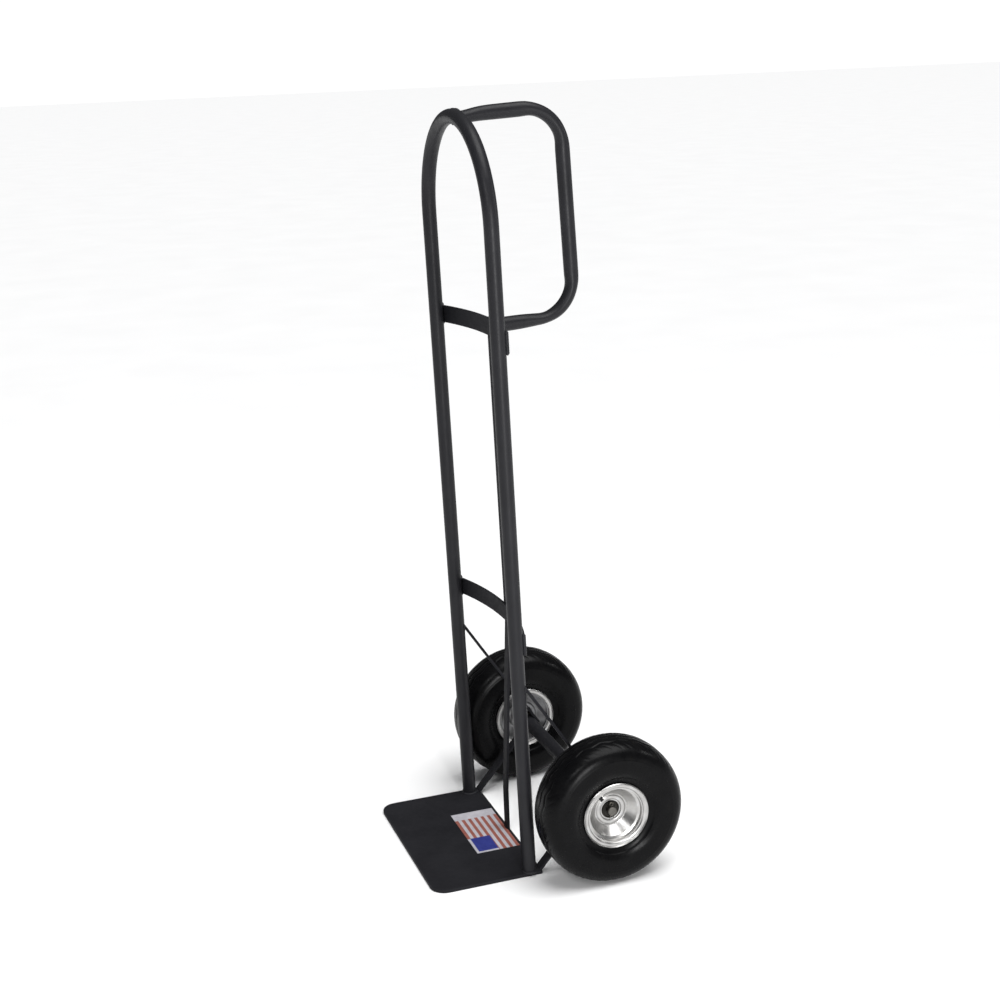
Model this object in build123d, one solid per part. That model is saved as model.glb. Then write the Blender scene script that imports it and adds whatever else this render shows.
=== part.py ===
from build123d import *
import os
from math import asin, atan2, cos, degrees, hypot, radians, sin, tan

# Hand truck: tube frame with a loop handle, toe plate and two pneumatic wheels.
# Millimetres. +X is the operator's left, +Y points back from the toe plate to the
# handle, +Z is up. The origin is the centre of the bounding box, on the floor.

# ---- driving dimensions -------------------------------------------------------------
OVERALL_DEPTH = 435.5
FRAME_HEIGHT = 1307.5
RAIL_SPACING = 336.0
RAIL_LEAN = 1.3
RAIL_TO_AXLE = 127.8
TUBE_D = 25.0
TUBE_WALL = 2.0

HANDLE_TILT = 2.8
HANDLE_TOP_Z = 1296.7
HANDLE_BOTTOM_Z = 943.6
HANDLE_REACH = 168.0
HANDLE_BEND_R = 65.0
HANDLE_TUBE_D = 25.0

TOE_WIDTH = 358.0
TOE_DEPTH = 198.5
TOE_THICKNESS = 6.0
TOE_CORNER_R = 28.0

BAR_T = 4.5
BAR_WIDTH = 18.0
CROSS_HEIGHT = 30.0
CROSS_BOW = 24.5
CROSS_OVERHANG = 5.0
UPPER_CROSS_Z = 945.0
LOWER_CROSS_Z = 429.0
UPPER_BRACE_Z = 348.0

WHEEL_D = 260.0
WHEEL_TRACK = 455.6
TYRE_WIDTH = 90.0
TYRE_WALL = 6.0
TUBE_GAP = 0.5
INNER_TUBE_WALL = 2.0
TYRE_SECTION_R = 94.0
SECTION_POWER = 2.6

SHEET = 2.0
RIM_LIP_R = 60.0
RIM_LIP_X = 37.4
BEAD_SEAT_R = 51.2
HUB_R = 18.5
HUB_BORE_R = 16.5
HUB_OUTER_X = 9.0
HUB_INNER_X = -48.0

AXLE_D = 15.9
AXLE_CLEARANCE = 0.08
AXLE_TUBE_D = 25.4
AXLE_PROUD = 20.0
WASHER_T = 2.0
WASHER_GAP = 0.4
PIN_D = 3.2

BEARING_WIDTH = 10.0
BEARING_RECESS = 3.0
CONE_R = 9.8
CUP_R = 14.2
BALL_COUNT = 12
BALL_R = 2.15

VALVE_ANGLE = 127.0
VALVE_D = 7.0
VALVE_LENGTH = 33.6
CAP_LENGTH = 6.0
LABEL_SIZE = (160.0, 81.0, 0.3)
LABEL_X = -4.0

# ---- derived places ------------------------------------------------------------------
WHEEL_R = WHEEL_D / 2
AXLE_Y = OVERALL_DEPTH / 2 - WHEEL_R
RAIL_Y = AXLE_Y - RAIL_TO_AXLE
RAIL_X = RAIL_SPACING / 2
TOE_FRONT_Y = -OVERALL_DEPTH / 2
TOE_BACK_Y = TOE_FRONT_Y + TOE_DEPTH
LEAN = radians(RAIL_LEAN)
FRAME_PLANE = Plane(origin=(0, RAIL_Y, 0), x_dir=(1, 0, 0), z_dir=(0, -cos(LEAN), -sin(LEAN)))
AXLE = Vector(0, AXLE_Y, WHEEL_R)
HUB_END_X = WHEEL_TRACK / 2 + HUB_INNER_X
AXLE_TUBE_HALF = HUB_END_X - WASHER_T - 2 * WASHER_GAP


def rail_y(z):
    """Y of the rail axis at height z."""
    return RAIL_Y - z * tan(LEAN)


# ---- tubes ---------------------------------------------------------------------------
def swept(path, outer_r, inner_r=0.0):
    """A round bar, or a tube when inner_r is given, along a wire."""
    section = Circle(outer_r)
    if inner_r:
        section -= Circle(inner_r)
    start = Plane(origin=path @ 0, z_dir=path % 0)
    return sweep(start * section, path=path)


def loop_path():
    """Up one rail, over the half-round arch and down the other rail."""
    arch_z = (FRAME_HEIGHT - TUBE_D / 2) / cos(LEAN) - RAIL_X
    rise = Line((RAIL_X, -20), (RAIL_X, arch_z))
    arch = ThreePointArc((RAIL_X, arch_z), (0, arch_z + RAIL_X), (-RAIL_X, arch_z))
    fall = Line((-RAIL_X, arch_z), (-RAIL_X, -20))
    return Wire([FRAME_PLANE * edge for edge in (rise.edge(), arch.edge(), fall.edge())])


def below_toe_plate_top():
    """A block of everything lower than the toe plate's top face."""
    return Pos(0, 0, TOE_THICKNESS - 50) * Box(600, 600, 100)


def frame_loop(inner_r=TUBE_D / 2 - TUBE_WALL):
    """The long tube, standing on the toe plate; inner_r=0 gives its solid envelope."""
    return swept(loop_path(), TUBE_D / 2, inner_r) - below_toe_plate_top()


def handle_path():
    """Out from the arch, down the grip and forward again to the upper crossmember."""
    slope = tan(radians(HANDLE_TILT))
    middle_z = (HANDLE_TOP_Z + HANDLE_BOTTOM_Z) / 2

    def leg_z(root_z, y):
        return root_z + slope * (y - RAIL_Y)

    def grip_corner(root_z):
        y = RAIL_Y + HANDLE_REACH
        for _ in range(6):
            y = RAIL_Y + HANDLE_REACH - slope * (leg_z(root_z, y) - middle_z)
        return (0, y, leg_z(root_z, y))

    top_y = rail_y(FRAME_HEIGHT)
    bottom_y = strap_y(HANDLE_BOTTOM_Z)
    points = [
        (0, top_y, leg_z(HANDLE_TOP_Z, top_y)),
        grip_corner(HANDLE_TOP_Z),
        grip_corner(HANDLE_BOTTOM_Z),
        (0, bottom_y, leg_z(HANDLE_BOTTOM_Z, bottom_y)),
    ]
    return FilletPolyline(*points, radius=HANDLE_BEND_R).wire()


def handle_loop():
    """The handle tube, coped round the arch and cut flat on the centre strap."""
    tube = swept(handle_path(), HANDLE_TUBE_D / 2, HANDLE_TUBE_D / 2 - TUBE_WALL)
    cut = tube - frame_loop(inner_r=0) - center_strap() - crossmember(UPPER_CROSS_Z)
    return cut.solids().sort_by(SortBy.VOLUME)[-1]


# ---- flat bars -----------------------------------------------------------------------
def crossmember(z):
    """A flat bar bowed to the back, its ends lying on the backs of the rails."""
    plane = Plane(
        origin=(0, rail_y(z), z), x_dir=(1, 0, 0), z_dir=(0, -sin(LEAN), cos(LEAN))
    )
    end_y = TUBE_D / 2 + BAR_T / 2
    radius = (RAIL_X**2 + CROSS_BOW**2) / (2 * CROSS_BOW)
    half_angle = degrees(asin((RAIL_X + CROSS_OVERHANG) / radius))
    center_y = end_y + CROSS_BOW - radius
    bow = CenterArc((0, center_y), radius, 90 - half_angle, 2 * half_angle)
    bar = extrude(plane * trace(bow, line_width=BAR_T), CROSS_HEIGHT / 2, both=True)
    return bar - frame_loop(inner_r=0)


def strap_y(z):
    """Y of the centre strap's mid-plane where it lies behind the crossmembers."""
    return rail_y(z) + TUBE_D / 2 + BAR_T + CROSS_BOW + BAR_T / 2


def center_strap():
    """The upright flat bar from the upper crossmember down to the toe plate."""
    top_z = UPPER_CROSS_Z + CROSS_HEIGHT / 2
    knee_z = LOWER_CROSS_Z - CROSS_HEIGHT / 2 - 3
    foot_y = TOE_BACK_Y - BAR_T / 2
    points = [
        (strap_y(top_z), top_z),
        (strap_y(knee_z), knee_z),
        (foot_y, 85),
        (foot_y, TOE_THICKNESS),
    ]
    side = Plane(origin=(0, 0, 0), x_dir=(0, 1, 0), z_dir=(1, 0, 0))
    outline = trace(FilletPolyline(*points, radius=100), line_width=BAR_T)
    strap = extrude(side * outline, BAR_WIDTH / 2, both=True)
    return strap - crossmember(UPPER_CROSS_Z) - crossmember(LOWER_CROSS_Z)


def straight_bar(start, end, x):
    """A flat bar in the plane of x whose mid-line runs between two (y, z) points."""
    length = hypot(end[0] - start[0], end[1] - start[1])
    pitch = degrees(atan2(end[1] - start[1], end[0] - start[0]))
    middle = ((start[0] + end[0]) / 2, (start[1] + end[1]) / 2)
    return Pos(x, *middle) * Rot(pitch, 0, 0) * Box(BAR_WIDTH, length, BAR_T)


def axle_tube_envelope():
    """The axle tube without its bore."""
    tube = Cylinder(AXLE_TUBE_D / 2, 2 * AXLE_TUBE_HALF)
    return Pos(*AXLE) * Rot(0, 90, 0) * tube


def upper_brace(x):
    """From the back of a rail down to the top and back of the axle tube."""
    root = (rail_y(UPPER_BRACE_Z) + TUBE_D / 2, UPPER_BRACE_Z)
    reach = hypot(AXLE.Y - root[0], AXLE.Z - root[1])
    offset = AXLE_TUBE_D / 2 + BAR_T / 2
    angle = atan2(AXLE.Z - root[1], AXLE.Y - root[0]) + asin(offset / reach)
    before, beyond = -9.0, reach + 9.0
    start = (root[0] + before * cos(angle), root[1] + before * sin(angle))
    end = (root[0] + beyond * cos(angle), root[1] + beyond * sin(angle))
    return straight_bar(start, end, x) - frame_loop(inner_r=0) - axle_tube_envelope()


def lower_brace(x):
    """From the back edge of the toe plate up to the front of the axle tube."""
    foot = (TOE_BACK_Y - 3.2, TOE_THICKNESS)
    angle = atan2(AXLE.Z - foot[1], AXLE.Y - foot[0])
    start = (foot[0] - 12 * cos(angle), foot[1] - 12 * sin(angle))
    end = (AXLE.Y - 4 * cos(angle), AXLE.Z - 4 * sin(angle))
    bar = straight_bar(start, end, x) - below_toe_plate_top()
    return bar - axle_tube_envelope() - frame_loop(inner_r=0)


def toe_plate():
    """The flat plate with two round front corners."""
    plate = Pos(0, TOE_FRONT_Y + TOE_DEPTH / 2, TOE_THICKNESS / 2) * Box(
        TOE_WIDTH, TOE_DEPTH, TOE_THICKNESS
    )
    front_corners = plate.edges().filter_by(Axis.Z).sort_by(Axis.Y)[:2]
    return fillet(front_corners, TOE_CORNER_R)


def toe_plate_label():
    """The thin printed sheet in front of the plate's back edge."""
    width, depth, thickness = LABEL_SIZE
    y = TOE_BACK_Y - BAR_T - 0.5 - depth / 2
    return Pos(LABEL_X, y, TOE_THICKNESS + thickness / 2) * Box(width, depth, thickness)


# ---- axle and its fasteners ------------------------------------------------------------
def ring(inner_r, outer_r, x_low, x_high):
    """A flat or long ring round the wheel axis, which is X."""
    body = Cylinder(outer_r, x_high - x_low) - Cylinder(inner_r, x_high - x_low)
    return Pos((x_low + x_high) / 2, 0, 0) * Rot(0, 90, 0) * body


def axle_pin_x():
    """Distance of the split pins from the middle of the axle."""
    return WHEEL_TRACK / 2 + HUB_OUTER_X - BEARING_RECESS + WASHER_T + 6.2


def axle():
    """The round bar through both wheels, with a cross hole for each split pin."""
    length = WHEEL_TRACK + 2 * AXLE_PROUD
    bar = chamfer(Cylinder(AXLE_D / 2, length).edges(), 1.0)
    bar = Pos(*AXLE) * Rot(0, 90, 0) * bar
    for x in (-axle_pin_x(), axle_pin_x()):
        bar -= Pos(x, AXLE.Y, AXLE.Z) * Cylinder(PIN_D / 2 + 0.1, AXLE_D * 2)
    return bar


def axle_tube():
    """The thick tube between the braces that the axle runs through."""
    return Pos(*AXLE) * ring(AXLE_D / 2 + 0.05, AXLE_TUBE_D / 2, -AXLE_TUBE_HALF, AXLE_TUBE_HALF)


def split_pin():
    """An upright pin with a round eye on top and two legs spread below the axle."""
    eye_z = AXLE_D / 2 + 3.6
    shank = Cylinder(PIN_D / 2, AXLE_D + 3.0)
    eye = Pos(0, 0, eye_z) * Rot(0, 90, 0) * Torus(2.9, 1.0)
    pin = shank + eye
    for side in (-1, 1):
        leg = Pos(0, side * 0.75, -AXLE_D / 2 - 1.2) * Rot(side * 32, 0, 0)
        pin += leg * Pos(0, 0, -3.0) * Cylinder(0.75, 6.0)
    return pin


# ---- wheel, built on the X axis with its outer side towards +X ----------------------------
def revolved(outline):
    """A closed outline drawn as (x, radius) turned round the wheel axis."""
    return revolve(outline, axis=Axis.X, revolution_arc=360)


def section_point(half_width, half_height, angle):
    """A point of the tyre's squared oval section, angle measured from the crown."""
    power = 2 / SECTION_POWER
    across = abs(sin(angle)) ** power * (1 if angle >= 0 else -1)
    rise = abs(cos(angle)) ** power * (1 if cos(angle) >= 0 else -1)
    return (half_width * across, TYRE_SECTION_R + half_height * rise)


def section_curve(half_width, half_height, last_angle, steps=24):
    """The squared oval from one side over the crown to the other side."""
    angles = [last_angle * (2 * i / steps - 1) for i in range(steps + 1)]
    return Spline(*[section_point(half_width, half_height, a) for a in angles])


def tyre():
    """The open casing, from bead to bead, round the inner tube."""
    half_height = WHEEL_R - TYRE_SECTION_R
    outer = section_curve(TYRE_WIDTH / 2, half_height, radians(128))
    inner = section_curve(TYRE_WIDTH / 2 - TYRE_WALL, half_height - TYRE_WALL, radians(133))
    bead_r = BEAD_SEAT_R + SHEET / 2 + 0.2
    sides = []
    for end, side in ((1, 1), (0, -1)):
        bead = [outer @ end, (side * 34.4, bead_r + 8), (side * 34.4, bead_r + 1.8)]
        bead += [(side * 32.6, bead_r), (side * 26.5, bead_r)]
        bead += [(side * 27.0, bead_r + 9), inner @ end]
        sides.append(Polyline(*bead))
    return revolved(make_face([outer, inner, *sides]))


def inner_tube():
    """The closed rubber air tube inside the casing."""
    half_height = WHEEL_R - TYRE_SECTION_R - TYRE_WALL - TUBE_GAP
    half_width = TYRE_WIDTH / 2 - TYRE_WALL - TUBE_GAP
    shell = []
    for wall in (0, INNER_TUBE_WALL):
        points = [
            section_point(half_width - wall, half_height - wall, radians(a))
            for a in range(-165, 195, 15)
        ]
        shell.append(make_face(Spline(*points, periodic=True)))
    return revolved(shell[0] - shell[1])


def pressed_sheet(points, radii):
    """A thin pressed sheet whose mid-line is a polyline with rounded corners."""
    return revolved(trace(FilletPolyline(*points, radius=radii), line_width=SHEET))


def rim_barrel():
    """The full-width band with a lip on each side and a drop centre for the beads."""
    half = [(RIM_LIP_X + 0.4, RIM_LIP_R - 1), (RIM_LIP_X - 1.8, RIM_LIP_R - 3.4)]
    half += [(RIM_LIP_X - 1.8, BEAD_SEAT_R), (23, BEAD_SEAT_R), (16, BEAD_SEAT_R - 5)]
    points = half + [(-x, r) for x, r in reversed(half)]
    radii = [1.6, 2.5, 4.0, 4.0]
    barrel = pressed_sheet(points, radii + radii[::-1])
    return barrel - valve_envelope(1.0)


def outer_disc():
    """The deep outer dish: a rolled ring round the hub, a cone and a weld flange."""
    seat_r = BEAD_SEAT_R - SHEET
    collar_r = HUB_R + SHEET / 2
    points = [(-1, collar_r), (10.5, collar_r), (10.5, 25), (8.0, 28.5), (24.5, 44.5)]
    points += [(26.5, seat_r), (34, seat_r)]
    disc = pressed_sheet(points, [2.0, 2.4, 3.0, 2.5, 1.6])
    return disc - valve_envelope(0.6)


def inner_disc():
    """The shallower dish on the inner side of the wheel."""
    seat_r = BEAD_SEAT_R - SHEET
    collar_r = HUB_R + SHEET / 2
    points = [(-12, collar_r), (-22, collar_r), (-22, 25), (-19.5, 29), (-25, 42)]
    points += [(-29.5, seat_r), (-34, seat_r)]
    return pressed_sheet(points, [2.0, 2.4, 3.0, 5.0, 1.6])


def hub_tube():
    """The tube that joins both discs and holds the bearings."""
    return ring(HUB_BORE_R, HUB_R, HUB_INNER_X, HUB_OUTER_X)


def bearing_cup(x):
    """The pressed outer race of a bearing that starts at x."""
    race = ring(CUP_R, HUB_BORE_R, x, x + BEARING_WIDTH)
    shield_r = CONE_R + 0.6
    return race + ring(shield_r, CUP_R, x, x + 1) + ring(shield_r, CUP_R, x + 9, x + 10)


def bearing_cone(x):
    """The inner race, which slides on the axle."""
    return ring(AXLE_D / 2 + AXLE_CLEARANCE, CONE_R, x, x + BEARING_WIDTH)


def bearing_balls(x):
    """The ring of loose balls between the races."""
    pitch_r = (CONE_R + CUP_R) / 2
    balls = []
    for i in range(BALL_COUNT):
        turn = 360 * i / BALL_COUNT
        place = Rot(turn, 0, 0) * Pos(x + BEARING_WIDTH / 2, 0, pitch_r)
        balls.append(place * Sphere(BALL_R))
    return Compound(balls)


def valve_frame():
    """The valve's place: local +Z runs from the inner tube out through the dish."""
    start = Vector(2, 0, TYRE_SECTION_R - 28)
    end = Vector(23, 0, 35.5)
    lean = degrees(atan2(end.X - start.X, end.Z - start.Z))
    turn = Rot(VALVE_ANGLE - 90, 0, 0)
    return turn * Pos(*start) * Rot(0, lean, 0)


def valve_envelope(clearance):
    """The space that the valve stem needs through the sheets."""
    length = VALVE_LENGTH + 10
    return valve_frame() * Pos(0, 0, length / 2) * Cylinder(VALVE_D / 2 + clearance, length)


def valve_stem():
    """The rubber covered stem, from the inner tube out through the dish."""
    rubber = Pos(0, 0, VALVE_LENGTH / 2) * Cylinder(VALVE_D / 2, VALVE_LENGTH)
    thread = Pos(0, 0, VALVE_LENGTH + 1.5) * Cylinder(2.6, 3.0)
    stem = valve_frame() * (rubber + thread) - inner_tube()
    return stem.solids().sort_by(SortBy.VOLUME)[-1]


def valve_cap():
    """The screwed dust cap."""
    bottom = VALVE_LENGTH + 0.4
    cap = Pos(0, 0, bottom + CAP_LENGTH / 2) * Cylinder(3.3, CAP_LENGTH)
    cap = fillet(cap.edges().sort_by(Axis.Z)[-1], 0.8)
    return valve_frame() * (cap - Pos(0, 0, VALVE_LENGTH + 1.6) * Cylinder(2.65, 3.4))


def wheel_parts():
    """Every piece of one wheel, by name, on the X axis."""
    outer_x = HUB_OUTER_X - BEARING_RECESS - BEARING_WIDTH
    parts = {
        "tyre": tyre(),
        "inner_tube": inner_tube(),
        "rim_barrel": rim_barrel(),
        "outer_disc": outer_disc(),
        "inner_disc": inner_disc(),
        "hub_tube": hub_tube(),
        "valve_stem": valve_stem(),
        "valve_cap": valve_cap(),
    }
    for end, x in (("outer", outer_x), ("inner", HUB_INNER_X)):
        parts[f"{end}_bearing_cup"] = bearing_cup(x)
        parts[f"{end}_bearing_cone"] = bearing_cone(x)
        parts[f"{end}_bearing_balls"] = bearing_balls(x)
    return parts


def axle_end_parts():
    """The washers and split pin of one axle end, measured from the wheel's middle."""
    pin_x = axle_pin_x() - WHEEL_TRACK / 2
    outer_x = HUB_OUTER_X - BEARING_RECESS + WASHER_GAP
    inner_x = HUB_INNER_X - WASHER_GAP
    bore_r = AXLE_D / 2 + 0.1
    return {
        "inner_washer": ring(bore_r, 15, inner_x - WASHER_T, inner_x),
        "outer_washer": ring(bore_r, 14, outer_x, outer_x + WASHER_T),
        "split_pin": Pos(pin_x, 0, 0) * split_pin(),
    }


# ---- the whole truck ----------------------------------------------------------------------
def all_parts():
    """Every node of the truck in its place."""
    parts = {
        "frame_loop": frame_loop(),
        "handle_loop": handle_loop(),
        "upper_crossmember": crossmember(UPPER_CROSS_Z),
        "lower_crossmember": crossmember(LOWER_CROSS_Z),
        "center_strap": center_strap(),
        "toe_plate": toe_plate(),
        "toe_plate_label": toe_plate_label(),
        "axle_tube": axle_tube(),
        "axle": axle(),
    }
    for side, x in (("left", RAIL_X), ("right", -RAIL_X)):
        parts[f"{side}_upper_brace"] = upper_brace(x)
        parts[f"{side}_lower_brace"] = lower_brace(x)
    for name, piece in {**wheel_parts(), **axle_end_parts()}.items():
        place = Pos(WHEEL_TRACK / 2, AXLE.Y, AXLE.Z)
        parts[f"left_{name}"] = place * piece
        parts[f"right_{name}"] = (place * piece).mirror(Plane.YZ)
    return parts


os.makedirs("parts", exist_ok=True)
for node, shape in all_parts().items():
    export_step(shape, f"parts/{node}.step")
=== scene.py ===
import math
import bpy
import numpy as np
from mathutils import Matrix, Vector


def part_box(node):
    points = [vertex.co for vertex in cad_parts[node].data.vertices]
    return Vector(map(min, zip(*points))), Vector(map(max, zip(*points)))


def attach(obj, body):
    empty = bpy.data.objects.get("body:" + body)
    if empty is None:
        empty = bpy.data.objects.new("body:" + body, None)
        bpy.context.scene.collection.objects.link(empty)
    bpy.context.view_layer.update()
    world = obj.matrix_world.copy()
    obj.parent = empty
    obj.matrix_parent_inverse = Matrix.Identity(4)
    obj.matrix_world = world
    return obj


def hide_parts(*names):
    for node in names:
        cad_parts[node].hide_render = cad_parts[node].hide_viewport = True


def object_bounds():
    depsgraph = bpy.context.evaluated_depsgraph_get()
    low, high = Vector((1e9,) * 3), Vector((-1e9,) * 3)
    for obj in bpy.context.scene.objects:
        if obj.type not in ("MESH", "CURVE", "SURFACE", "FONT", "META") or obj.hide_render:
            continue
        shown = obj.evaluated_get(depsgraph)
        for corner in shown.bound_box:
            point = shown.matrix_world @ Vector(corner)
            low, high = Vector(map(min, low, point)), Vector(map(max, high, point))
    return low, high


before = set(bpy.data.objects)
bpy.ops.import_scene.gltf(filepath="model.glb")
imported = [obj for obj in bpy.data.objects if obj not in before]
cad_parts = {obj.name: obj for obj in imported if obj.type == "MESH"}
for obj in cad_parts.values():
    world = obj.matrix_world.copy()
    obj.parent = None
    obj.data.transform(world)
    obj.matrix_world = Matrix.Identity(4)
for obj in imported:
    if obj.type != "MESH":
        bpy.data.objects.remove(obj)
cad_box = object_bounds()

MM = 0.001

# ---- sizes shared with the solids, in metres -------------------------------------------
tube_r = 12.5 * MM
handle_r = 12.5 * MM
bend_r = 65 * MM
handle_tilt = math.radians(2.8)
handle_top_z = 1296.7 * MM
handle_bottom_z = 943.6 * MM
handle_reach = 168 * MM
lean = math.radians(1.3)
bar_t = 4.5 * MM
bar_width = 18 * MM
cross_bow = 24.5 * MM
brace_angle = math.radians(57.1)

loop_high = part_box("frame_loop")[1]
plate_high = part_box("toe_plate")[1]
tube_low, tube_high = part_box("axle_tube")
crossmember_boxes = {level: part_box(f"{level}_crossmember") for level in ("upper", "lower")}

rail_x = loop_high.x - tube_r
rail_foot_y = loop_high.y - tube_r + plate_high.z * math.tan(lean)
arch_top_z = loop_high.z
axle_y = (tube_low.y + tube_high.y) / 2
axle_z = (tube_low.z + tube_high.z) / 2
axle_tube_r = (tube_high.z - tube_low.z) / 2


def rail_y(z):
    """Y of the rail axis at height z."""
    return rail_foot_y - z * math.tan(lean)


def leg_z(root_z, y):
    """Height at y of a handle leg's axis; both legs rise backwards by the handle's tilt."""
    return root_z + math.tan(handle_tilt) * (y - rail_foot_y)


strap_back_y = rail_y(handle_bottom_z) + tube_r + bar_t + cross_bow + bar_t


# ---- meshes from numpy grids --------------------------------------------------------------
def mesh_piece(name, points, faces, body, material, smooth=True):
    """A mesh object from an array of points and a list of faces, riding on a body."""
    mesh = bpy.data.meshes.new(name)
    mesh.from_pydata(points.reshape(-1, 3).tolist(), [], faces)
    mesh.polygons.foreach_set("use_smooth", np.full(len(mesh.polygons), smooth))
    mesh.materials.append(material)
    piece = bpy.data.objects.new(name, mesh)
    bpy.context.collection.objects.link(piece)
    if body:
        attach(piece, body)
    return piece


def grid_faces(rows, columns, wrap_rows=False, wrap_columns=True):
    """Quads joining each grid point to the next row and the next column."""
    row_count = rows if wrap_rows else rows - 1
    column_count = columns if wrap_columns else columns - 1
    row, column = np.meshgrid(np.arange(row_count), np.arange(column_count), indexing="ij")
    next_row, next_column = (row + 1) % rows, (column + 1) % columns
    corners = [row * columns + column, next_row * columns + column,
               next_row * columns + next_column, row * columns + next_column]
    return np.stack(corners, -1).reshape(-1, 4).tolist()


def capped(points, faces):
    """Adds a middle point and a fan of triangles to the first and the last row of a tube."""
    rows, columns = points.shape[:2]
    around = np.arange(columns)
    ahead = (around + 1) % columns
    last = (rows - 1) * columns
    ends = np.stack([points[0].mean(0), points[-1].mean(0)])
    start_fan = np.stack([around, ahead, np.full(columns, rows * columns)], -1)
    end_fan = np.stack([last + ahead, last + around, np.full(columns, rows * columns + 1)], -1)
    everything = np.concatenate([points.reshape(-1, 3), ends])
    return everything, faces + start_fan.tolist() + end_fan.tolist()


def tube_along(path, normals, wide, narrow, sides=40):
    """An oval tube: at each path point, a ring of wide * cos(a) along the binormal and
    narrow * sin(a) along the normal, for a going once round."""
    tangents = np.gradient(path, axis=0)
    tangents /= np.linalg.norm(tangents, axis=1)[:, None]
    normals = normals - (normals * tangents).sum(1)[:, None] * tangents
    normals /= np.linalg.norm(normals, axis=1)[:, None]
    binormals = np.cross(tangents, normals)
    turn = np.linspace(0, 2 * np.pi, sides, endpoint=False)
    ring = (binormals[:, None] * (wide[:, None] * np.cos(turn))[..., None]
            + normals[:, None] * (narrow[:, None] * np.sin(turn))[..., None])
    return path[:, None] + ring


# ---- materials ----------------------------------------------------------------------------
def linear(hex_colour, alpha=1.0):
    """An sRGB hex colour as linear red, green, blue and alpha."""
    channels = [int(hex_colour[i:i + 2], 16) / 255 for i in (1, 3, 5)]
    return [c / 12.92 if c <= 0.04045 else ((c + 0.055) / 1.055) ** 2.4 for c in channels] + [alpha]


def add(tree, kind, inputs=None, **settings):
    """Adds one node; a socket given as an input is linked, anything else is its value."""
    made = tree.nodes.new(kind)
    for key, value in settings.items():
        setattr(made, key, value)
    for key, value in (inputs or {}).items():
        if isinstance(value, bpy.types.NodeSocket):
            tree.links.new(value, made.inputs[key])
        else:
            made.inputs[key].default_value = value
    return made


def new_material(name):
    """An empty node material, its tree and its output node."""
    material = bpy.data.materials.new(name)
    material.use_nodes = True
    tree = material.node_tree
    tree.nodes.clear()
    return material, tree, tree.nodes.new("ShaderNodeOutputMaterial")


def ramp(tree, factor, stops):
    """A colour ramp through (position, hex colour) stops."""
    made = add(tree, "ShaderNodeValToRGB", {"Fac": factor})
    band = made.color_ramp
    while len(band.elements) < len(stops):
        band.elements.new(0.5)
    for element, (position, colour) in zip(band.elements, stops):
        element.position = position
        element.color = linear(colour)
    return made.outputs["Color"]


def grain(tree, size_mm, detail=2.0, stretch=(1, 1, 1)):
    """Noise whose features are about size_mm across, stretched along the axes."""
    place = add(tree, "ShaderNodeTexCoord").outputs["Object"]
    scaled = add(tree, "ShaderNodeMapping", {"Vector": place, "Scale": stretch})
    noise = {"Vector": scaled.outputs[0], "Scale": 1 / (size_mm * MM), "Detail": detail}
    return add(tree, "ShaderNodeTexNoise", noise).outputs["Fac"]


def between(tree, value, low, high):
    """The 0 to 1 value spread over the range low to high."""
    spread = {"Value": value, "From Min": 0.3, "From Max": 0.7, "To Min": low, "To Max": high}
    return add(tree, "ShaderNodeMapRange", spread).outputs[0]


def finish_of(name, stops, colour_mm, rough, rough_mm, bumps, **surface):
    """A surface with colour blotches, uneven gloss and a relief of several grain sizes."""
    material, tree, out = new_material(name)
    normal = None
    for size_mm, depth_mm, stretch in bumps:
        relief = {"Height": grain(tree, size_mm, 2.0, stretch), "Distance": depth_mm * MM, "Strength": 1.0}
        if normal:
            relief["Normal"] = normal
        normal = add(tree, "ShaderNodeBump", relief).outputs[0]
    sockets = {
        "Base Color": ramp(tree, grain(tree, colour_mm, 4.0), stops),
        "Roughness": between(tree, grain(tree, rough_mm, 3.0), *rough),
        "Normal": normal,
    }
    sockets.update({key.replace("_", " "): value for key, value in surface.items()})
    shader = add(tree, "ShaderNodeBsdfPrincipled", sockets)
    tree.links.new(shader.outputs[0], out.inputs["Surface"])
    return material


EVEN = (1, 1, 1)

# Satin charcoal polyester powder coat, sprayed and baked: dark with a faint violet cast,
# an orange-peel skin of about 2 mm waves and fine 0.5 mm grain that softens the gloss.
powder_coat = finish_of(
    "charcoal_powder_coat", [(0.3, "#1e1e21"), (0.7, "#242427")], 60, (0.36, 0.46), 9,
    [(2.2, 0.015, EVEN), (0.5, 0.008, EVEN)], Specular_IOR_Level=0.18, IOR=1.5)

# The same coat on hot rolled flat bar and plate, whose mill scale dulls it.
flat_coat = finish_of(
    "charcoal_coat_on_flat_bar", [(0.3, "#1e1e21"), (0.7, "#252528")], 60, (0.5, 0.6), 9,
    [(2.2, 0.015, EVEN), (0.5, 0.01, EVEN)], Specular_IOR_Level=0.06, IOR=1.5)

# The same coat over a hand laid weld bead, which bakes a little thicker and glossier.
weld_coat = finish_of(
    "charcoal_coat_on_weld", [(0.3, "#1b1b1e"), (0.7, "#252529")], 12, (0.36, 0.5), 4,
    [(1.6, 0.03, EVEN), (0.6, 0.01, EVEN)], Specular_IOR_Level=0.2, IOR=1.5)

# Moulded carbon black tyre rubber: satin, a little browner where dust settles, with the
# fine pebble that a sand-blasted mould leaves.
tyre_rubber = finish_of(
    "moulded_tyre_rubber", [(0.3, "#070708"), (0.62, "#0b0b0c"), (0.8, "#100f0e")], 22, (0.25, 0.34), 7,
    [(0.9, 0.012, EVEN), (4.0, 0.02, EVEN)], Specular_IOR_Level=0.09, IOR=1.5)

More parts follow.
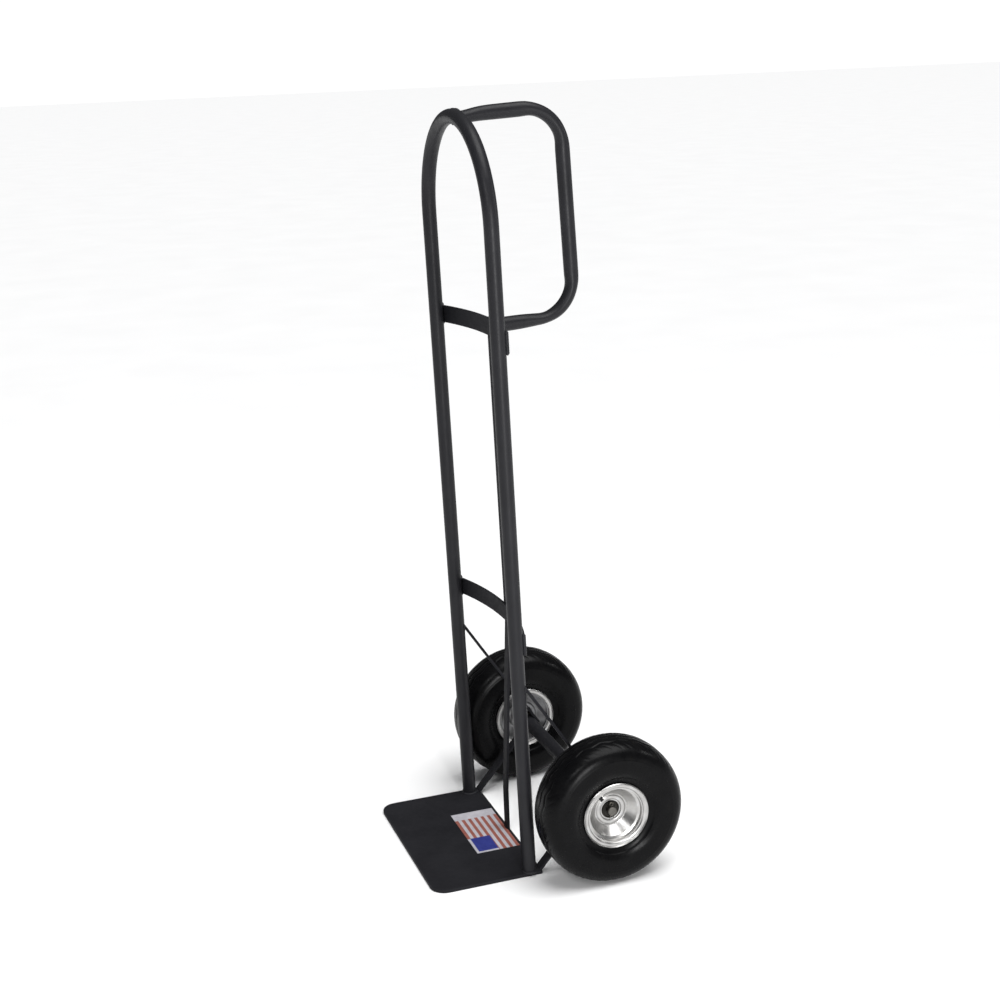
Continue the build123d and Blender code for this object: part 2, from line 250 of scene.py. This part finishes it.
# Butyl inner tube: black, matt and powdered with a little talc.
tube_rubber = finish_of(
    "talced_butyl_rubber", [(0.35, "#1a1a1a"), (0.7, "#2f2f2e")], 15, (0.7, 0.85), 5,
    [(0.8, 0.03, EVEN)], IOR=1.52)

# Bright zinc plated pressed steel: silver with a faint warm and cool cast, satin gloss
# and shallow drawing waves left by the press.
zinc_sheet = finish_of(
    "bright_zinc_plated_steel", [(0.3, "#acabaa"), (0.55, "#b9b8b6"), (0.75, "#c2c2c3")], 14, (0.28, 0.36), 6,
    [(14.0, 0.02, EVEN)], Metallic=1.0)

# The same zinc on the discs that face each other, with a darker base colour as painted shade for the shadow
# between the wheels and the frame.
shade_darkened_zinc = finish_of(
    "zinc_plated_steel_painted_darker_as_shade", [(0.3, "#68686a"), (0.55, "#7b7b7c"), (0.75, "#8a8a8c")], 14, (0.28, 0.36), 6,
    [(14.0, 0.02, EVEN)], Metallic=1.0)

# Cold drawn bright steel bar, lightly oiled, with fine draw lines along the bar.
drawn_steel = finish_of(
    "cold_drawn_steel", [(0.3, "#5a5854"), (0.7, "#6f6d68")], 10, (0.34, 0.48), 5,
    [(0.5, 0.002, (0.05, 1, 1))], Metallic=1.0)

# Black oxide bearing steel under a film of grease.
greased_steel = finish_of(
    "greased_bearing_steel", [(0.3, "#211f1c"), (0.7, "#3c3934")], 4, (0.3, 0.5), 2,
    [(1.2, 0.02, EVEN)], Metallic=1.0)

# Zinc plated washers and split pins, tumbled, so slightly dull.
fastener_zinc = finish_of(
    "tumbled_zinc_plate", [(0.3, "#4c4a44"), (0.7, "#716e66")], 3, (0.34, 0.5), 2,
    [(0.8, 0.004, EVEN)], Metallic=1.0)

# Dark phosphated washer at the outer end of the hub.
phosphated_steel = finish_of(
    "phosphated_washer_steel", [(0.3, "#1f1e1c"), (0.7, "#34322e")], 3, (0.4, 0.6), 2,
    [(0.7, 0.01, EVEN)], Metallic=0.8)

# Black rubber over the valve stem, moulded smooth.
valve_rubber = finish_of(
    "moulded_valve_rubber", [(0.3, "#161616"), (0.7, "#202020")], 6, (0.45, 0.6), 3,
    [(0.6, 0.02, EVEN)], IOR=1.52)

# Injection moulded black polyethylene dust cap.
cap_plastic = finish_of(
    "moulded_black_polyethylene", [(0.3, "#121213"), (0.7, "#1b1b1c")], 5, (0.3, 0.42), 3,
    [(0.5, 0.01, EVEN)], IOR=1.51)


def printed_vinyl():
    """Glossy printed vinyl: a blank white strip at one end, red and white stripes and a
    plain blue block with a white margin at the other end. Every edge is a step in the
    object's own X or Y."""
    low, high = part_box("toe_plate_label")
    material, tree, out = new_material("printed_vinyl_label")
    place = add(tree, "ShaderNodeTexCoord").outputs["Object"]
    parts = add(tree, "ShaderNodeSeparateXYZ", {"Vector": place}).outputs

    def above(value, limit):
        return add(tree, "ShaderNodeMath", {0: value, 1: limit}, operation="GREATER_THAN").outputs[0]

    def both(one, other):
        return add(tree, "ShaderNodeMath", {0: one, 1: other}, operation="MULTIPLY").outputs[0]

    def over(mask, under, top):
        mixed = add(tree, "ShaderNodeMix", {0: mask, 6: under, 7: top}, data_type="RGBA")
        return mixed.outputs[2]

    stripe_pitch = (high.y - low.y) / 6.5
    along = add(tree, "ShaderNodeMath", {0: parts["Y"], 1: low.y}, operation="SUBTRACT").outputs[0]
    count = add(tree, "ShaderNodeMath", {0: along, 1: stripe_pitch}, operation="DIVIDE").outputs[0]
    phase = add(tree, "ShaderNodeMath", {0: count}, operation="FRACT").outputs[0]
    white_stripe = above(phase, 0.5)
    fade = grain(tree, 9, 4.0)
    red = ramp(tree, fade, [(0.3, "#8a5147"), (0.7, "#985f53")])
    white = ramp(tree, fade, [(0.3, "#a9a7ae"), (0.7, "#bab8be")])
    blue = ramp(tree, fade, [(0.3, "#2b3276"), (0.7, "#343c84")])
    stripes = over(white_stripe, red, white)
    block_from_x = low.x + 0.64 * (high.x - low.x)
    block_to_y = low.y + 0.52 * (high.y - low.y)
    block = both(above(parts["X"], block_from_x), above(block_to_y, parts["Y"]))
    inner_block = both(above(high.x - 5 * MM, parts["X"]), above(parts["Y"], low.y + 5 * MM))
    pattern = over(block, stripes, over(inner_block, white, blue))
    pattern = over(above(low.x + 26 * MM, parts["X"]), pattern, white)
    relief = {"Height": grain(tree, 1.5), "Distance": 0.01 * MM, "Strength": 1.0}
    sockets = {
        "Base Color": pattern,
        "Roughness": between(tree, grain(tree, 6), 0.3, 0.45),
        "Normal": add(tree, "ShaderNodeBump", relief).outputs[0],
        "IOR": 1.5,
    }
    shader = add(tree, "ShaderNodeBsdfPrincipled", sockets)
    tree.links.new(shader.outputs[0], out.inputs["Surface"])
    return material


label_vinyl = printed_vinyl()

node_finish = {
    "toe_plate_label": label_vinyl, "axle": drawn_steel, "tyre": tyre_rubber,
    "inner_tube": tube_rubber, "rim_barrel": zinc_sheet, "outer_disc": zinc_sheet,
    # the inner discs take the zinc whose base colour is darkened as painted shade
    "inner_disc": shade_darkened_zinc, "hub_tube": zinc_sheet, "valve_stem": valve_rubber,
    "valve_cap": cap_plastic, "inner_washer": fastener_zinc, "outer_washer": phosphated_steel,
    "split_pin": fastener_zinc, "upper_crossmember": flat_coat, "lower_crossmember": flat_coat,
    "center_strap": flat_coat, "toe_plate": flat_coat, "upper_brace": flat_coat,
    "lower_brace": flat_coat,
}
for node_name, node_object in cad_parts.items():
    own_name = node_name.removeprefix("left_").removeprefix("right_")
    finish = node_finish.get(own_name, powder_coat)
    if "bearing" in own_name:
        finish = greased_steel
    if not node_object.material_slots:
        node_object.data.materials.append(finish)
    for slot in node_object.material_slots:
        slot.material = finish


# ---- tyres ----------------------------------------------------------------------------------
def tyre_profile():
    """The casing's closed outline as (across, radius) points, and how many of them are its
    outside. The outside is the squared oval a * |sin t|^(2/p), c + h * |cos t|^(2/p); the
    inside is the same oval a wall's thickness smaller, and two straight-sided beads join them."""
    power, centre = 2.6, 94 * MM
    half_width, half_height, wall = 45 * MM, 36 * MM, 6 * MM

    def oval(angles, shrink):
        across = (half_width - shrink) * np.abs(np.sin(angles)) ** (2 / power) * np.sign(angles)
        rise = np.abs(np.cos(angles)) ** (2 / power) * np.sign(np.cos(angles))
        return np.stack([across, centre + (half_height - shrink) * rise], -1)

    fine = np.linspace(-1, 1, 2401) * math.radians(128)
    dense = oval(fine, 0)
    length = np.concatenate([[0], np.cumsum(np.linalg.norm(np.diff(dense, axis=0), axis=1))])
    outside_at = np.linspace(0, length[-1], 150)
    outside = np.stack([np.interp(outside_at, length, dense[:, i]) for i in (0, 1)], -1)
    inside = oval(np.linspace(1, -1, 30) * math.radians(133), wall)
    right_bead = np.array([[34.4, 60.4], [34.4, 57], [34.4, 54.2], [32.6, 52.4], [29, 52.4],
                           [26.5, 52.4], [26.6, 55], [27.0, 61.4]]) * MM
    left_bead = right_bead[::-1] * [-1, 1]
    return np.concatenate([outside, right_bead, inside, left_bead]), len(outside)


def tread_depth(across, turn):
    """How deep the tread is cut, from 0 to 1. Three zigzag grooves run round the crown, each
    where across less its centre less a triangle wave, 2.4 mm high with 24 waves a turn, is
    small. Both shoulders have 48 short slanted cuts, each in the middle of its own pitch."""
    pitches = turn / (2 * np.pi) * 48
    zigzag = 2.4 * MM * (np.abs(pitches % 2 - 1) * 2 - 1)
    groove_half_width = 1.7 * MM
    cut = np.zeros_like(across * turn)
    for centre in (-15 * MM, 0, 15 * MM):
        gap = np.abs(across - centre - zigzag) / groove_half_width
        cut = np.maximum(cut, np.clip(1.5 - gap, 0, 1))
    side = np.abs(across)
    gap = np.abs((pitches + side / (14 * MM)) % 1 - 0.5) / 0.11
    shoulder = np.clip((side - 20 * MM) / (2 * MM), 0, 1) * np.clip((36 * MM - side) / (4 * MM), 0, 1)
    return np.maximum(cut, 0.4 * np.clip(1.5 - gap, 0, 1) * shoulder)


def add_tyre(side):
    """The casing's outline turned round the axle, with the tread cut in along the outline's
    normal and thin raised rings moulded on the sidewalls."""
    low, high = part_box(f"{side}_tyre")
    centre = (low + high) / 2
    outline, outside_count = tyre_profile()
    steps = 480
    turn = np.linspace(0, 2 * np.pi, steps, endpoint=False)
    slope = np.gradient(outline, axis=0)
    normal = np.stack([slope[:, 1], -slope[:, 0]], -1)
    normal /= -np.linalg.norm(normal, axis=1)[:, None]
    across, radius = outline[:, 0], outline[:, 1]
    is_outside = np.arange(len(outline)) < outside_count
    on_crown = is_outside & (radius > 100 * MM)
    relief = -1.2 * MM * tread_depth(across[None, :], turn[:, None]) * on_crown[None, :]
    for ring_r, height in ((66.5 * MM, 0.5 * MM), (72 * MM, 0.35 * MM), (103 * MM, 0.4 * MM)):
        bump = height * np.exp(-((radius - ring_r) / (0.9 * MM)) ** 2) * is_outside
        relief = relief + bump[None, :] * (np.abs(across) > 30 * MM)[None, :]
    moved = outline[None] + relief[..., None] * normal[None]
    points = np.stack([
        centre.x + moved[..., 0] * (1 if side == "left" else -1),
        centre.y + moved[..., 1] * np.cos(turn)[:, None],
        centre.z + moved[..., 1] * np.sin(turn)[:, None],
    ], -1)
    faces = grid_faces(steps, len(outline), wrap_rows=True)
    if side == "right":
        faces = [face[::-1] for face in faces]
    piece = mesh_piece(f"{side}_treaded_tyre", points, faces, f"{side}_wheel", tyre_rubber)
    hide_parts(f"{side}_tyre")


for wheel_side in ("left", "right"):
    add_tyre(wheel_side)


# ---- handle loop with bends flattened by the tube bender -----------------------------------
def rounded_path(corners, radius, step=2.5 * MM):
    """Straight runs joined by tangent arcs, sampled evenly, with each point's bend share:
    0 on a run, rising to 1 inside an arc as 2.2 * sin(pi * part of the arc), capped."""
    points, share = [corners[0]], [np.zeros(1)]
    for before, corner, after in zip(corners, corners[1:], corners[2:]):
        arrive = (corner - before) / np.linalg.norm(corner - before)
        leave = (after - corner) / np.linalg.norm(after - corner)
        half_turn = math.acos(float(np.clip(arrive @ leave, -1, 1))) / 2
        inward = (leave - arrive) / np.linalg.norm(leave - arrive)
        forward = (arrive + leave) / np.linalg.norm(arrive + leave)
        middle = corner + inward * radius / math.cos(half_turn)
        angle = np.linspace(-half_turn, half_turn, 60)[:, None]
        points.append(middle + radius * (np.sin(angle) * forward - np.cos(angle) * inward))
        share.append(np.clip(2.2 * np.sin(np.linspace(0, np.pi, 60)), 0, 1))
    points = np.vstack(points + [corners[-1]])
    share = np.concatenate(share + [np.zeros(1)])
    length = np.concatenate([[0], np.cumsum(np.linalg.norm(np.diff(points, axis=0), axis=1))])
    at = np.linspace(0, length[-1], int(length[-1] / step))
    even = np.stack([np.interp(at, length, points[:, i]) for i in range(3)], -1)
    return even, np.interp(at, length, share)


def handle():
    """A round tube on the handle's centre line. A bender's pinch p makes its section
    (1.01 - p) as thick in the loop's plane and (1 + 0.55 p) as wide across it: p is 0.15 in
    the bends, with bell-shaped dents of 0.17 near the arch and before the lower end."""
    middle_z = (handle_top_z + handle_bottom_z) / 2
    reach_y = rail_foot_y + handle_reach

    def corner(root_z):
        y = reach_y
        for _ in range(6):
            y = reach_y - math.tan(handle_tilt) * (leg_z(root_z, y) - middle_z)
        return np.array([0, y, leg_z(root_z, y)])

    start_y = rail_y(arch_top_z) + tube_r - 1.0 * MM
    start = np.array([0, start_y, leg_z(handle_top_z, start_y)])
    end = np.array([0, strap_back_y, leg_z(handle_bottom_z, strap_back_y)])
    path, share = rounded_path([start, corner(handle_top_z), corner(handle_bottom_z), end], bend_r)
    share = np.convolve(np.pad(share, 4, mode="edge"), np.ones(9) / 9, mode="valid")
    run = np.concatenate([[0], np.cumsum(np.linalg.norm(np.diff(path, axis=0), axis=1))])
    dent_by_arch = np.exp(-(run / (34 * MM)) ** 2)
    dent_by_strap = np.exp(-((run[-1] - run - 88 * MM) / (26 * MM)) ** 2)
    pinch = 0.15 * share + 0.17 * dent_by_arch + 0.17 * dent_by_strap
    path[:, 2] = path[:, 2] - 3.5 * MM * np.exp(-(run / (26 * MM)) ** 2)
    normals = np.cross(np.gradient(path, axis=0), [1.0, 0, 0])
    rings = tube_along(path, normals, handle_r * (1 + 0.55 * pinch), handle_r * (1.01 - pinch), 56)
    return capped(rings, grid_faces(*rings.shape[:2]))


bent_handle = mesh_piece("bent_handle_tube", *handle(), "frame", powder_coat)
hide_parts("handle_loop")


# ---- weld beads ------------------------------------------------------------------------------
def weld(name, path, bead_r, closed=False, pitch=2.6 * MM):
    """A bead along a path: a round section whose radius swells as 1 + 0.16 * |cos| with one
    scallop each pitch, and whose ends taper as the root of the distance from the end."""
    path = np.asarray(path, float)
    if closed:
        path = np.vstack([path, path[:1]])
    length = np.concatenate([[0], np.cumsum(np.linalg.norm(np.diff(path, axis=0), axis=1))])
    count = max(8, int(length[-1] / pitch) * 6)
    at = np.linspace(0, length[-1], count, endpoint=not closed)
    even = np.stack([np.interp(at, length, path[:, i]) for i in range(3)], -1)
    swell = 1 + 0.16 * np.abs(np.cos(np.pi * at / pitch))
    if not closed:
        edge = np.minimum(at, length[-1] - at) / (bead_r * 1.2)
        swell = swell * np.sqrt(np.clip(edge, 0.02, 1))
    if closed:
        tangents = np.roll(even, -1, axis=0) - np.roll(even, 1, axis=0)
    else:
        tangents = np.gradient(even, axis=0)
    tangents /= np.linalg.norm(tangents, axis=1)[:, None]
    runs_up = abs(tangents[:, 2]).max() >= 0.9
    normals = np.cross(tangents, [0.9, 0.35, 0.1] if runs_up else [0.31, 0.27, 0.91])
    normals /= np.linalg.norm(normals, axis=1)[:, None]
    binormals = np.cross(tangents, normals)
    turn = np.linspace(0, 2 * np.pi, 12, endpoint=False)
    ring = binormals[:, None] * np.cos(turn)[:, None] + normals[:, None] * np.sin(turn)[:, None]
    rings = even[:, None] + ring * (bead_r * swell)[:, None, None]
    faces = grid_faces(*rings.shape[:2], wrap_rows=closed)
    if not closed:
        rings, faces = capped(rings, faces)
    piece = mesh_piece(name, rings, faces, "frame", weld_coat)


def circle(centre, radius, axis):
    """60 points round a circle about Y or Z."""
    turn = np.linspace(0, 2 * np.pi, 60, endpoint=False)
    one, other, flat = radius * np.cos(turn), radius * np.sin(turn), np.zeros(60)
    order = {"y": (one, flat, other), "z": (one, other, flat)}[axis]
    return np.array(centre) + np.stack(order, -1)


def bar_weld(name, spot, bead_r):
    """A straight bead across most of a flat bar's width."""
    across = np.linspace(-1, 1, 14) * (bar_width / 2 - 0.5 * MM)
    weld(name, spot + across[:, None] * np.array([1.0, 0, 0]), bead_r)


def handle_welds():
    """A bead round each end of the handle. The upper one is saddle-shaped: its Y is the
    arch's axis plus the root of tube_r squared less the height above the axis squared."""
    arch_axis_z = arch_top_z - tube_r
    arch_y = rail_y(arch_axis_z)
    saddle = circle((0, 0, leg_z(handle_top_z, arch_y)), handle_r + 0.3 * MM, "y")
    rise = np.clip((saddle[:, 2] - arch_axis_z) / tube_r, -0.995, 0.995)
    saddle[:, 1] = arch_y + tube_r * np.sqrt(1 - rise ** 2)
    saddle[:, 2] = np.minimum(saddle[:, 2], arch_top_z - 1.4 * MM)
    weld("weld_handle_to_arch", saddle, 1.8 * MM, closed=True)
    low_end = (0, strap_back_y + 0.4 * MM, leg_z(handle_bottom_z, strap_back_y))
    weld("weld_handle_to_strap", circle(low_end, handle_r, "y"), 2.0 * MM, closed=True)


def rail_welds(side, sign):
    """Beads round a rail's foot and round the three free edges of each crossmember's end."""
    x = sign * rail_x
    foot = circle((x, rail_y(plate_high.z), plate_high.z + 0.3 * MM), tube_r + 0.4 * MM, "z")
    weld(f"{side}_weld_rail_to_toe_plate", foot, 2.2 * MM, closed=True)
    for level, (low, high) in crossmember_boxes.items():
        back_y = rail_y((low.z + high.z) / 2) + tube_r
        run = np.linspace(-7, 4.5, 12) * MM
        for end, z in (("top", high.z - 0.5 * MM), ("bottom", low.z + 0.5 * MM)):
            line = np.stack([x + sign * run, back_y - run ** 2 / (2 * tube_r), z + 0 * run], -1)
            weld(f"{side}_weld_{level}_crossmember_{end}", line, 1.7 * MM)
        z = np.linspace(low.z - 5 * MM, high.z + 5 * MM, 16)
        line = np.stack([sign * (high.x - 0.5 * MM) + 0 * z, rail_y(z) + tube_r + 0.8 * MM, z], -1)
        weld(f"{side}_weld_{level}_crossmember_end", line, 3.0 * MM)


def brace_welds(side, sign):
    """Beads at both ends of a wheel's upper and lower brace."""
    x = sign * rail_x
    top_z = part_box(f"{side}_upper_brace")[1].z
    z = np.linspace(top_z - 2 * MM, top_z - 16 * MM, 10)
    edge_dip = tube_r - math.sqrt(tube_r ** 2 - (bar_width / 2) ** 2)
    for name, edge in (("outer", bar_width / 2), ("inner", -bar_width / 2)):
        line = np.stack([x + edge + 0 * z, rail_y(z) + tube_r - edge_dip + 0.5 * MM, z], -1)
        weld(f"{side}_weld_upper_brace_{name}", line, 1.5 * MM)
    axle_point = np.array([x, axle_y, axle_z])
    up_back = np.array([0, math.sin(brace_angle), math.cos(brace_angle)])
    along = np.array([0, math.cos(brace_angle), -math.sin(brace_angle)])
    for name, slide in (("front", -4.6 * MM), ("rear", 4.6 * MM)):
        spot = axle_point + up_back * (axle_tube_r - 0.2 * MM) + along * slide
        bar_weld(f"{side}_weld_brace_to_axle_tube_{name}", spot, 1.9 * MM)
    aim = math.atan2(axle_z - plate_high.z, axle_y - (plate_high.y - 3.2 * MM))
    toward = np.array([0, math.cos(aim), math.sin(aim)])
    square = np.array([0, -math.sin(aim), math.cos(aim)])
    for name, lift in (("top", 1), ("bottom", -1)):
        spot = axle_point - toward * (axle_tube_r + 0.2 * MM) + square * lift * 2.6 * MM
        bar_weld(f"{side}_weld_lower_brace_{name}", spot, 1.7 * MM)
    spot = np.array([x, plate_high.y - 6.3 * MM, plate_high.z + 0.2 * MM])
    bar_weld(f"{side}_weld_lower_brace_foot", spot, 1.9 * MM)


def strap_welds():
    """A bead at the strap's foot and one on each of its edges where it crosses a bar."""
    foot = np.array([0, plate_high.y - bar_t - 0.1 * MM, plate_high.z + 0.2 * MM])
    bar_weld("weld_strap_foot", foot, 1.7 * MM)
    for level, (low, high) in crossmember_boxes.items():
        z = np.linspace(low.z + 3 * MM, high.z - 3 * MM, 20)
        y = rail_y(z) + tube_r + bar_t + cross_bow + 0.1 * MM
        for name, sign in (("left", 1), ("right", -1)):
            line = np.stack([0 * z + sign * (bar_width / 2 + 0.2 * MM), y, z], -1)
            weld(f"weld_strap_to_{level}_crossmember_{name}", line, 1.3 * MM)


handle_welds()
for side_name, side_sign in (("left", 1), ("right", -1)):
    rail_welds(side_name, side_sign)
    brace_welds(side_name, side_sign)
strap_welds()


# ---- camera ---------------------------------------------------------------------------------
def add_camera():
    """A camera at the viewer's place, turned by azimuth and elevation and rolled a little."""
    azimuth, elevation, roll = (math.radians(a) for a in (71.339, 15.735, -2.171))
    back = Vector((math.sin(azimuth) * math.cos(elevation), -math.cos(azimuth) * math.cos(elevation),
                   math.sin(elevation)))
    right = (-back).cross(Vector((0, 0, 1))).normalized()
    up = right.cross(-back)
    right, up = (math.cos(roll) * right + math.sin(roll) * up, -math.sin(roll) * right + math.cos(roll) * up)
    data = bpy.data.cameras.new("camera")
    data.lens = 57.74
    data.sensor_width = 36
    data.clip_end = 200
    camera = bpy.data.objects.new("camera", data)
    place = Matrix((right, up, back)).transposed().to_4x4()
    place.translation = Vector((2.56605, -0.8782, 1.39945))
    camera.matrix_world = place
    bpy.context.collection.objects.link(camera)
    bpy.context.scene.camera = camera


# ---- studio -----------------------------------------------------------------------------------
def area_light(name, place, aim, size, power):
    """A soft box at a place, facing a point."""
    data = bpy.data.lights.new(name, "AREA")
    data.shape = "RECTANGLE"
    data.size, data.size_y = size
    data.energy = power
    light = bpy.data.objects.new(name, data)
    direction = Vector(aim) - Vector(place)
    light.matrix_world = Matrix.Translation(place) @ direction.to_track_quat("-Z", "Y").to_matrix().to_4x4()
    bpy.context.collection.objects.link(light)


def studio():
    """A plain white floor, a surround that is white to the camera and a dim grey as light,
    a wide overhead sun and three soft boxes."""
    material, tree, out = new_material("studio_floor_paint")
    speckle = ramp(tree, grain(tree, 400, 2.0), [(0.3, "#f7f7f7"), (0.7, "#fafafa")])
    shader = add(tree, "ShaderNodeBsdfPrincipled", {"Base Color": speckle, "Roughness": 0.9})
    tree.links.new(shader.outputs[0], out.inputs["Surface"])
    floor_z = min(cad_box[0].z, 0) - 0.2 * MM
    corners = np.array([[-60, -60, floor_z], [60, -60, floor_z], [60, 60, floor_z], [-60, 60, floor_z]])
    floor = mesh_piece("studio_floor", corners, [[0, 1, 2, 3]], None, material, smooth=False)
    world = bpy.data.worlds.new("studio_surround")
    world.use_nodes = True
    tree = world.node_tree
    tree.nodes.clear()
    seen = add(tree, "ShaderNodeLightPath").outputs["Is Camera Ray"]
    soft = add(tree, "ShaderNodeBackground", {"Color": linear("#e6e7ea"), "Strength": 0.14})
    white = add(tree, "ShaderNodeBackground", {"Color": linear("#ffffff"), "Strength": 1.05})
    mixed = add(tree, "ShaderNodeMixShader", {0: seen, 1: soft.outputs[0], 2: white.outputs[0]})
    out = tree.nodes.new("ShaderNodeOutputWorld")
    tree.links.new(mixed.outputs[0], out.inputs["Surface"])
    bpy.context.scene.world = world
    bpy.context.scene.view_settings.view_transform = "Standard"
    sun = bpy.data.lights.new("overhead_sun", "SUN")
    sun.energy = 3.1
    sun.angle = math.radians(50)
    lamp = bpy.data.objects.new("overhead_sun", sun)
    lamp.matrix_world = Matrix.Rotation(math.radians(10), 4, "Y") @ Matrix.Rotation(math.radians(-10), 4, "X")
    bpy.context.collection.objects.link(lamp)
    area_light("key_soft_box", (1.9, -1.5, 2.3), (0.2, 0.1, 0.15), (0.7, 0.7), 15)
    area_light("tall_soft_box", (3.4, -0.2, 0.95), (0.1, 0, 0.8), (0.3, 1.3), 62)
    area_light("rear_soft_box", (0.8, 3.0, 1.9), (0.2, 0.1, 0.15), (0.4, 0.4), 9)


add_camera()
studio()
